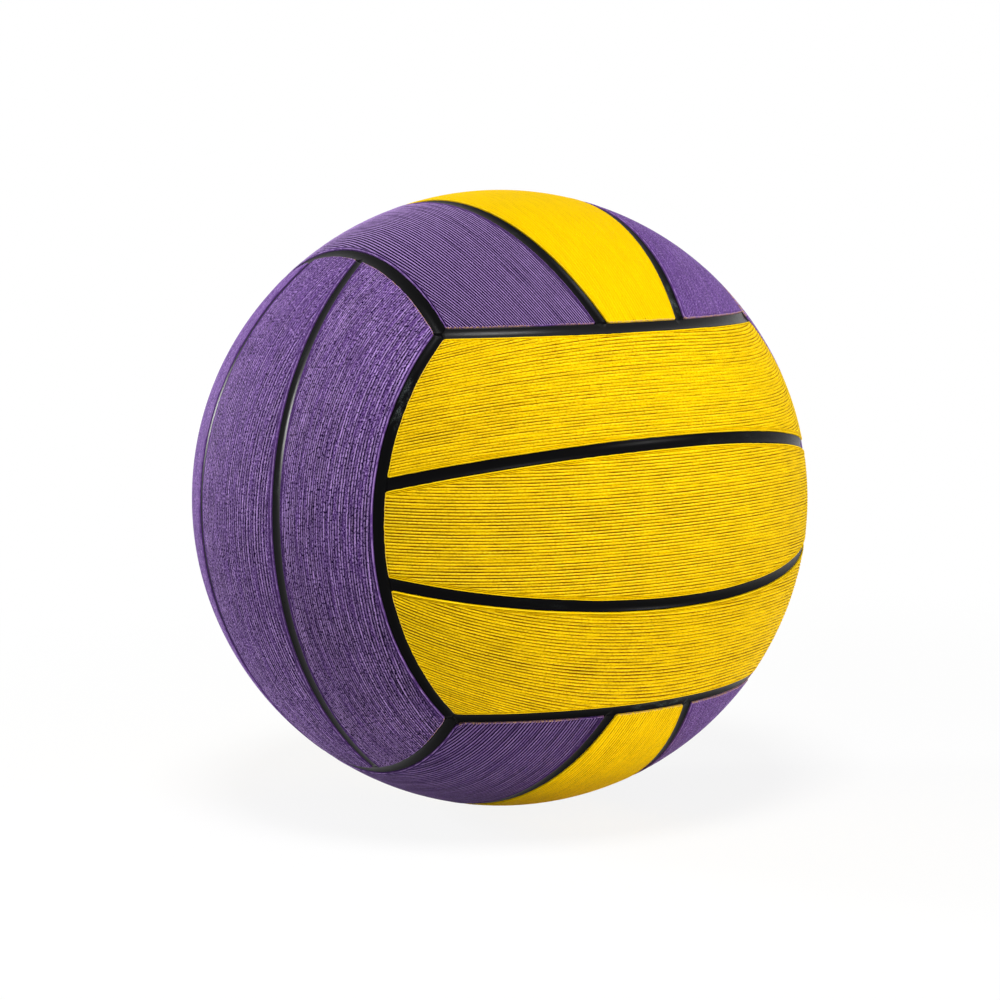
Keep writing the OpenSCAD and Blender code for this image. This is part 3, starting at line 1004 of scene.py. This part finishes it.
def strip_profile(s, radius):
    """Outline of a strip's section, as distance across it and from the ball's centre.
    It runs over the hollow top, with small rounded shoulders, and round the under side."""
    half = s.channel_width / 2 - s.strip_clearance
    across = half * np.sin(np.linspace(-math.pi / 2, math.pi / 2, 23))
    height = floor_height(across, s, radius)
    height = height - SHOULDER_DROP * (np.abs(across) / half) ** 16
    under = radius - s.panel_thickness
    return np.r_[across, half, 0.0, -half], np.r_[height, under, under, under]


def swept_strip(stations, place, profile, radius, seed, lower=None):
    """A closed strip: its section carried along a circle of the ball.
    stations are angles, one row for each point of the section, so that the strip's ends follow
    what they meet. place gives the point of the ball at an angle, for a distance across and out,
    and lower the greatest height of points there. The top sags and leans a little in waves."""
    rng = np.random.default_rng(seed)
    n, m = stations.shape
    across, height = [np.repeat(values[:, None], m, 1) for values in profile]
    top = n - 3
    x = stations[top // 2] * radius
    if lower is not None:
        limit = lower(place(stations, across, height), across)
        height[:top] = np.minimum(height, limit)[:top]
    sag = STRIP_SAG * (1 + ripples(rng, 1, x, 0.012, 0.08, 5))
    lean = STRIP_LEAN * ripples(rng, 1, x, 0.02, 0.06, 4) * across / np.abs(across).max()
    height[:top] = (height - sag - np.abs(lean))[:top]
    points = place(stations, across, height)
    middles = np.stack([points[[top // 2, -2], j].mean(0) for j in (0, -1)])
    ids = np.arange(n * m).reshape(n, m)
    after = np.roll(ids, -1, 0)
    start, end, none = [np.full(n, i) for i in (n * m, n * m + 1, -1)]
    sides = cells(ids, after)
    first_cap = np.stack([ids[:, 0], start, after[:, 0], none], -1)
    last_cap = np.stack([after[:, -1], end, ids[:, -1], none], -1)
    faces = np.concatenate([sides, first_cap, last_cap])
    along = np.stack([np.broadcast_to(x, across.shape), across], -1).reshape(-1, 2) / MAP_UNIT
    along = np.concatenate([along, along[[0, m - 1]]])
    floor = 1 - smooth_rise(np.abs(across), 0.45 * across.max(), 0.95 * across.max())
    floor[top:] = 0
    return {
        "points": np.concatenate([points.reshape(-1, 3), middles]),
        "faces": faces,
        "smooth": np.arange(len(faces)) < len(sides),
        "maps": {"along_strip": along[faces], "OFBake": strip_bake_map(m, across[:, 0], height[:, 0])},
        "numbers": {"floor": np.r_[floor.ravel(), 0, 0]},
    }


def strip_bake_map(columns, across, height):
    """The map that a strip's finish is baked to: its sides fill it, the hollow top up to 0.7, and
    its two end caps lie small in the lower corners."""
    up = np.r_[np.linspace(0.02, 0.7, len(across) - 3), 0.78, 0.86, 0.94, 0.98]
    sides = np.stack(np.meshgrid(np.linspace(0.02, 0.98, columns), up), -1)
    cap = np.stack([across, height - height.min()], -1)
    cap = 0.004 + 0.01 * (cap - cap.min(0)) / np.ptp(cap, axis=0).max()
    after, middle = np.roll(cap, -1, 0), np.broadcast_to(cap.mean(0), cap.shape)
    first = np.stack([cap, middle, after, cap], 1)
    last = np.stack([after, middle, cap, cap], 1) + (0.982, 0)
    return np.concatenate([cells(sides[:-1], sides[1:]), first, last])


def crossing(value, low, high):
    """Where a rising function passes zero between two arrays of angles, by halving."""
    low, high = low.copy(), high.copy()
    for _ in range(40):
        middle = (low + high) / 2
        under = value(middle) < 0
        low, high = np.where(under, middle, low), np.where(under, high, middle)
    return (low + high) / 2


def seam_strip(seed):
    """The strip right of the top face's middle panel: its section carried along a great circle
    tilted by the seam's angle, up to the walls of the channels at the panels' ends."""
    s = sizes()
    radius = s.diameter / 2
    profile = strip_profile(s, radius)
    tilt = s.seam_tilt
    outward = np.array([math.cos(tilt), 0, -math.sin(tilt)])
    upward = np.array([math.sin(tilt), 0, math.cos(tilt)])
    lengthways = np.array([0, 1, 0])

    def place(u, across, out):
        u, across, out = u[..., None], across[..., None], out[..., None]
        return out * (np.cos(u) * upward + np.sin(u) * lengthways) + across * outward

    end = border_tilt()
    gap = s.channel_width / 2 - SEAM_END_SHARE * s.strip_clearance

    def inside_end(u):
        """How far short of the end channel's wall a point of the section is, at the angle u."""
        p = place(u, *profile)
        return gap - (p[..., 2] * math.cos(end) - np.hypot(p[..., 0], p[..., 1]) * math.sin(end))

    reach = crossing(inside_end, np.zeros(len(profile[0])), np.full(len(profile[0]), 1.3))
    steps = np.linspace(-1, 1, 181)
    return swept_strip(reach[:, None] * steps, place, profile, radius, seed)


def border_strip(seed):
    """The strip right of the top face: its section carried along the circle x = sin(tilt), mitred
    with two others at the cube's corners. The hollows of the next face's seam strips run into it."""
    s = sizes()
    radius = s.diameter / 2
    profile = strip_profile(s, radius)
    level = math.sin(border_tilt())
    ring = math.cos(border_tilt())

    def place(u, across, out):
        spoke = np.stack([0 * u, np.sin(u), np.cos(u)], -1)
        x = out * level + across * ring
        from_axis = out * ring - across * level
        return from_axis[..., None] * spoke + x[..., None] * np.array([1, 0, 0])

    def past_mitre(u):
        """How far past its mitre a point of the section is: beyond either plane through the corner,
        times the root of 6, the length of those planes' normals."""
        p = place(u, *profile)
        outer = p[..., 0] - 2 * p[..., 1] + p[..., 2]
        inner = -p[..., 0] - p[..., 1] + 2 * p[..., 2]
        return MITRE_SHARE * s.strip_clearance * math.sqrt(6) - np.minimum(outer, inner)

    n = len(profile[0])
    reach = crossing(past_mitre, np.zeros(n), np.full(n, 1.2))
    seam_at = math.asin(math.tan(s.seam_tilt) * level / ring)
    near = np.linspace(-1, 1, 41) * 2.2 * s.channel_width / radius
    closer = np.r_[seam_at + near, near - seam_at] / reach[n // 2]
    steps = np.unique(np.round(np.r_[np.linspace(-1, 1, 141), closer], 4))

    def seam_hollow(points, across):
        """Height of the nearer seam strip's hollow floor, on the side where it comes in."""
        off = np.abs(np.abs(points[..., 1]) * math.cos(s.seam_tilt)
                     - points[..., 0] * math.sin(s.seam_tilt))
        half = s.channel_width / 2 - s.strip_clearance
        height = floor_height(np.minimum(off, half), s, radius)
        return np.where((across > 0) & (off < half), height, radius)

    return swept_strip(reach[:, None] * steps, place, profile, radius, seed, lower=seam_hollow)


def turned(outline, sides=96):
    """A closed outline of (radius, height) points turned round +Y. Points on the axis are poles."""
    r, h = np.array(outline, float).T
    turn = np.arange(sides) * 2 * math.pi / sides
    circle = np.stack([np.cos(turn), np.zeros(sides), np.sin(turn)], -1)
    points = r[:, None, None] * circle + h[:, None, None] * np.array([0, 1, 0])
    ids = round_ids(r, sides)
    faces = without_repeats(cells(ids, np.roll(ids, -1, 0)))
    return compacted({"points": points.reshape(-1, 3), "faces": faces, "maps": {}, "numbers": {}})


def softened(outline, radius, steps=4):
    """Rounds every corner off the axis: a curve through points at this distance from the corner."""
    points = np.array(outline, float)
    before, after = np.roll(points, 1, 0), np.roll(points, -1, 0)
    rounded = []
    for p, a, b in zip(points, before, after):
        reach = min(radius, 0.4 * np.linalg.norm(a - p), 0.4 * np.linalg.norm(b - p))
        if p[0] < 1e-9:
            rounded.append(p[None])
            continue
        start = p + (a - p) / np.linalg.norm(a - p) * reach
        end = p + (b - p) / np.linalg.norm(b - p) * reach
        w = np.linspace(0, 1, steps + 1)[:, None]
        rounded.append((1 - w) ** 2 * start + 2 * w * (1 - w) * p + w**2 * end)
    return np.concatenate(rounded)


def valve_boot_outline(radius):
    """Section of the boot: a neck through the layers, a flange under them and a barrel, round the
    core's room."""
    d = VALVE
    face = radius - d.neck_recess
    flange_top = radius - d.flange_depth
    flange_under = flange_top - d.flange_t
    barrel_end = flange_under - d.barrel_l
    dome_r = d.flange_d / 2 * np.linspace(1, d.neck_d / d.flange_d, 7)
    dome = list(zip(dome_r, np.sqrt(flange_top**2 - dome_r**2)))
    rim_low = (d.flange_d / 2, dome[0][1] - d.flange_rim_t)
    head_under = face - d.core_recess - d.core_head_t - d.core_gap
    bulb_top = head_under - d.core_stem_l + 2 * d.core_gap
    bulb_end = bulb_top - d.core_bulb_l - 2 * d.core_gap
    head_r, stem_r, bulb_r = [x / 2 + d.core_gap for x in (d.core_head_d, d.core_stem_d, d.core_bulb_d)]
    hole = d.barrel_hole_d / 2
    rim, groove, groove_depth = head_r + 0.45 * MM, 0.1 * MM, 0.08 * MM
    return [
        (hole, barrel_end),
        (hole, bulb_end),
        (bulb_r, bulb_end),
        (bulb_r, bulb_top),
        (stem_r, bulb_top),
        (stem_r, head_under),
        (head_r, head_under),
        (head_r, face),
        (rim, face),
        (rim + groove, face - groove_depth),
        (rim + 2 * groove, face),
        (d.neck_d / 2 - d.neck_chamfer, face),
        (d.neck_d / 2, face - d.neck_chamfer),
        *dome[::-1],
        rim_low,
        (d.barrel_d / 2, flange_under),
        (d.barrel_end_d / 2, barrel_end),
    ]


def valve_core_outline(radius):
    """Section of the core: a head with the needle's entry hole, a stem and a bulb."""
    d = VALVE
    face = radius - d.neck_recess - d.core_recess
    under = face - d.core_head_t
    bulb_top = under - d.core_stem_l
    bulb_end = bulb_top - d.core_bulb_l
    taper = 0.3 * d.core_bulb_l
    bore, mouth = d.needle_bore_d / 2, d.needle_mouth
    bore_end = face - mouth - d.needle_bore_l
    stem_r, bulb_r, head_r = d.core_stem_d / 2, d.core_bulb_d / 2, d.core_head_d / 2
    return [
        (0, bore_end),
        (bore, bore_end),
        (bore, face - mouth),
        (bore + mouth, face),
        (head_r, face),
        (head_r, under),
        (stem_r, under),
        (stem_r, bulb_top),
        (bulb_r, bulb_top - taper),
        (bulb_r, bulb_end + taper),
        (stem_r, bulb_end),
        (0, bulb_end),
    ]


# Operators


class BALL_OT_panels(bpy.types.Operator):
    """Make the eighteen ribbed panels"""

    bl_idname = "ball.panels"
    bl_label = "Panels"

    def execute(self, context):
        c = colours()
        yellow = ribbed_rubber(
            "ribbed_yellow_rubber", c.yellow, c.yellow_groove, c.yellow_ridge, c.tan, shine=0.03
        )
        purple = ribbed_rubber(
            "ribbed_purple_rubber", c.purple, c.purple_groove, c.purple_ridge, c.tan, shine=0.08
        )
        usual_corners = ((sizes().corner_radius / MM,) * 2,) * 2
        for seed, (name, ribs) in enumerate(RIBS.items(), start=100):
            face, place = name.split("_")
            side = PLACES[face].index(place) - 1
            is_yellow = name in YELLOW_PANELS or face in YELLOW_PANELS
            rubber, slot = (yellow, "yellow_rubber") if is_yellow else (purple, "purple_rubber")
            with_valve = name == "back_middle"
            corners = np.array(SOFT_CORNERS.get(name, usual_corners)) * MM
            panel = RibbedPanel(
                abs(side), ribs, PAINTED_SHADE_TONES.get(name, (1, 1)), seed, corners,
                round_hole=0.09 if with_valve else 0,
            )
            mesh = put_on_face(panel.mesh(), face, mirrored=side < 0)
            piece = add_piece(name + "_ribbed_panel", mesh, rubber, name + "_panel")
            if with_valve:
                cut_neck_hole(piece)
        return {"FINISHED"}


def cut_neck_hole(piece):
    """Cuts the round hole for the valve's neck, with a cylinder along +Y."""
    s = sizes()
    rim = hole_radius()
    low, high = s.diameter / 2 - 3 * s.panel_thickness, s.diameter / 2 + s.panel_thickness
    cutter = turned([(0, low), (0, high), (rim, high), (rim, low)])
    cutter["smooth"] = np.zeros(len(cutter["faces"]), bool)
    tool = put_in_scene("neck_hole", new_mesh("neck_hole", cutter))
    cut = piece.modifiers.new("neck_hole", "BOOLEAN")
    cut.operation = "DIFFERENCE"
    cut.object = tool
    graph = bpy.context.evaluated_depsgraph_get()
    result = bpy.data.meshes.new_from_object(piece.evaluated_get(graph), depsgraph=graph)
    piece.modifiers.clear()
    piece.data = result
    bpy.data.objects.remove(tool)


class BALL_OT_strips(bpy.types.Operator):
    """Make the black strips in the channels"""

    bl_idname = "ball.strips"
    bl_label = "Channel strips"

    def execute(self, context):
        c = colours()
        dull = channel_rubber("dull_channel_rubber", c.black, c.dust, shine=0.04)
        polished = channel_rubber("polished_channel_rubber", c.black, c.dust, shine=0.13)
        for kind, make in (("seam", seam_strip), ("border", border_strip)):
            for face_number, face in enumerate(FACE_TURNS):
                for side in (-1, 1):
                    mesh = make(300 + 20 * face_number + side)
                    mesh = put_on_face(mesh, face, mirrored=side < 0)
                    place = PLACES[face][side + 1]
                    name = f"{face}_{place}_{kind}_strip"
                    rubber = polished if name in POLISHED_STRIPS else dull
                    add_piece(name + "_hollow", mesh, rubber, name)
        return {"FINISHED"}


class BALL_OT_valve(bpy.types.Operator):
    """Make the valve's boot and its core"""

    bl_idname = "ball.valve"
    bl_label = "Valve"

    def execute(self, context):
        radius = sizes().diameter / 2
        rubber = turned_rubber("valve_rubber_finish", colours().valve)
        for node, outline in (
            ("valve_boot", valve_boot_outline(radius)),
            ("valve_core", valve_core_outline(radius)),
        ):
            mesh = turned(softened(outline, 0.12 * MM))
            add_piece(node + "_turned", mesh, rubber, node)
        return {"FINISHED"}


class BALL_OT_layers(bpy.types.Operator):
    """Give the layers under the panels their finishes"""

    bl_idname = "ball.layers"
    bl_label = "Layers"

    def execute(self, context):
        c = colours()
        finishes = {
            "carcass": calendered_rubber("carcass_finish", c.carcass),
            "winding": wound_thread("wound_thread_finish", c.cement, c.thread),
            "bladder": calendered_rubber("butyl_finish", c.bladder),
        }
        for node, material in finishes.items():
            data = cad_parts[node].data
            data.materials.clear()
            data.materials.append(material)
        return {"FINISHED"}


class BALL_OT_stage(bpy.types.Operator):
    """Set the floor, the light and the camera"""

    bl_idname = "ball.stage"
    bl_label = "Stage"

    def execute(self, context):
        g = stage_settings()
        add_camera(g)
        add_floor(g, sizes().diameter / 2)
        add_sky(g)
        for name, (size, azimuth, elevation) in LAMPS.items():
            add_lamp(name + "_lamp", getattr(g, name), size, azimuth, elevation)
        bpy.context.scene.view_settings.view_transform = "Standard"
        return {"FINISHED"}


def direction(azimuth, elevation):
    """Unit vector from the ball: azimuth turns from the front towards +X."""
    return Vector((
        math.sin(azimuth) * math.cos(elevation),
        -math.cos(azimuth) * math.cos(elevation),
        math.sin(elevation),
    ))


def facing(back, roll=0):
    """Turn that looks along -back, with the right side level and then rolled."""
    level = Vector((-back.y, back.x, 0)).normalized()
    up = back.cross(level)
    right = math.cos(roll) * level + math.sin(roll) * up
    return Matrix((right, back.cross(right), back)).transposed().to_4x4()


def add_camera(g):
    """The camera, at the photograph's angle, looking at the ball's centre."""
    data = bpy.data.cameras.new("camera")
    data.lens = g.lens
    data.sensor_width = 36
    data.shift_x = g.shift_x
    data.shift_y = g.shift_y
    camera = put_in_scene("camera", data)
    back = direction(g.azimuth, g.elevation)
    camera.matrix_world = Matrix.Translation(back * g.distance) @ facing(back, g.roll)
    bpy.context.scene.camera = camera


def add_lamp(name, power, size, azimuth, elevation):
    """A square lamp that faces the ball's centre. Its angles are in degrees."""
    data = bpy.data.lights.new(name, "AREA")
    data.energy = power
    data.size = size
    back = direction(math.radians(azimuth), math.radians(elevation))
    put_in_scene(name, data).matrix_world = Matrix.Translation(back * LAMP_DISTANCE) @ facing(back)


def add_floor(g, depth):
    """A round pale floor under the ball, of rings that grow outwards with the square of their
    number. Its far part shows as the white background."""
    rings, sides = 24, 96
    r = FLOOR_RADIUS * (np.arange(rings + 1) / rings) ** 2
    turn = np.arange(sides) * 2 * math.pi / sides
    level = np.full((len(r), sides), -depth)
    points = np.stack([np.outer(r, np.cos(turn)), np.outer(r, np.sin(turn)), level], -1)
    ids = round_ids(r, sides)
    faces = without_repeats(cells(ids[:-1], ids[1:]))
    mesh = {"points": points.reshape(-1, 3), "faces": faces, "maps": {}, "numbers": {}}
    floor = put_in_scene("floor", new_mesh("floor", compacted(mesh)))
    floor.data.materials.append(floor_finish(g))


def floor_finish(g):
    """Pale matt floor near the ball, going over into the white background further out."""
    f = Finish("floor_finish")
    place = f.node("TexCoord", output="Object")
    distance = f.node("VectorMath", {"operation": "LENGTH"}, {0: place}, output="Value")
    grain = f.noise(place, 400, detail=2)
    shade = f.mixed(grain * 0.1, g.floor, scaled(g.floor, 0.96))
    inputs = {"Base Color": shade, "Roughness": 0.9, "Specular IOR Level": 0.1}
    matt = f.node("BsdfPrincipled", {}, inputs)
    white = f.node("Emission", {}, {"Color": WHITE, "Strength": 1.0})
    camera, glossy = [f.node("LightPath", output=kind) for kind in ("Is Camera Ray", "Is Glossy Ray")]
    share = (0.88 + 0.12 * distance.between(0.15, 0.5)) * camera.greatest(glossy)
    surface = f.node("MixShader", {}, {0: share, 1: matt, 2: white})
    f.node("OutputMaterial", {}, {"Surface": surface})
    return f.owner


def add_sky(g):
    """Soft white light from all round, and a white background to the camera."""
    f = Finish("sky", world=True)
    kinds = ("Is Camera Ray", "Is Glossy Ray", "Is Transmission Ray")
    camera, glossy, transmission = [f.node("LightPath", output=kind) for kind in kinds]
    soft = f.node("Background", {}, {"Color": WHITE, "Strength": g.sky})
    white = f.node("Background", {}, {"Color": WHITE, "Strength": 1.0})
    seen = camera.greatest(glossy).greatest(transmission)
    surface = f.node("MixShader", {}, {0: seen, 1: soft, 2: white})
    f.node("OutputWorld", {}, {"Surface": surface})
    bpy.context.scene.world = f.owner


class BALL_PT_build(bpy.types.Panel):
    """Lists the steps that build the ball"""

    bl_idname = "BALL_PT_build"
    bl_label = "Water polo ball"
    bl_space_type = "VIEW_3D"
    bl_region_type = "UI"
    bl_category = "Ball"

    def draw(self, context):
        for step in STEPS:
            self.layout.operator(step.bl_idname)
        for group in (sizes(), colours(), stage_settings()):
            box = self.layout.box()
            for name in group.__annotations__:
                box.prop(group, name)


STEPS = (BALL_OT_panels, BALL_OT_strips, BALL_OT_valve, BALL_OT_layers, BALL_OT_stage)
CLASSES = (BallSizes, BallColours, StageSettings, *STEPS, BALL_PT_build)


def register():
    for item in CLASSES:
        bpy.utils.register_class(item)
    bpy.types.Scene.ball_sizes = PointerProperty(type=BallSizes)
    bpy.types.Scene.ball_colours = PointerProperty(type=BallColours)
    bpy.types.Scene.ball_stage = PointerProperty(type=StageSettings)


def unregister():
    del bpy.types.Scene.ball_stage
    del bpy.types.Scene.ball_colours
    del bpy.types.Scene.ball_sizes
    for item in reversed(CLASSES):
        bpy.utils.unregister_class(item)


def main():
    register()
    bpy.ops.ball.stage()
    bpy.ops.ball.panels()
    bpy.ops.ball.strips()
    bpy.ops.ball.valve()
    bpy.ops.ball.layers()


if __name__ == "__main__":
    main()
